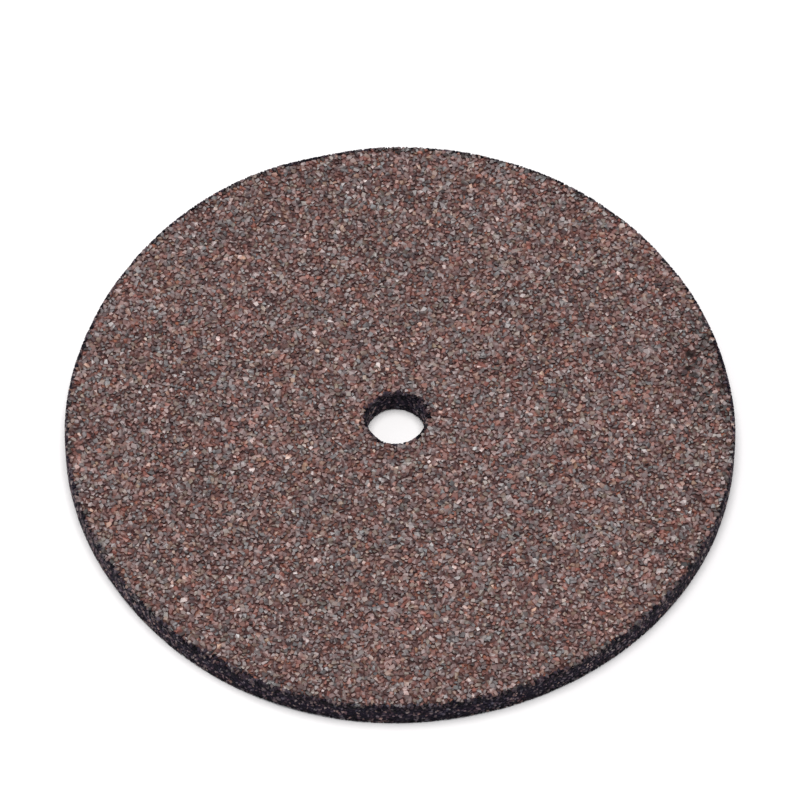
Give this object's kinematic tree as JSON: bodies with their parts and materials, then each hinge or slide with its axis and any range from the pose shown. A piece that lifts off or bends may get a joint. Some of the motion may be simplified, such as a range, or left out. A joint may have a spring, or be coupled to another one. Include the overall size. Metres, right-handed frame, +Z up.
{
  "type": "cut-off wheel",
  "caption": "Thin round abrasive cut-off wheel of resin-bonded grit, with flat faces, slightly crumbled edges and a small central bore.",
  "frame": {"origin": "middle of the wheel's underside, on the axis of its outline; the bore's axis is about 0.17 mm from it, towards -X and +Y", "axes": "+Z up along the wheel's axis, through its thickness; X and Y lie in the plane of the disc"},
  "size_m": [0.024, 0.024, 0.0011],
  "materials": {
    "abrasive": "rough, matt, speckled grit in dark brown resin"
  },
  "bodies": {
    "root": {"cut_off_wheel": "abrasive"}
  },
  "joints": []
}
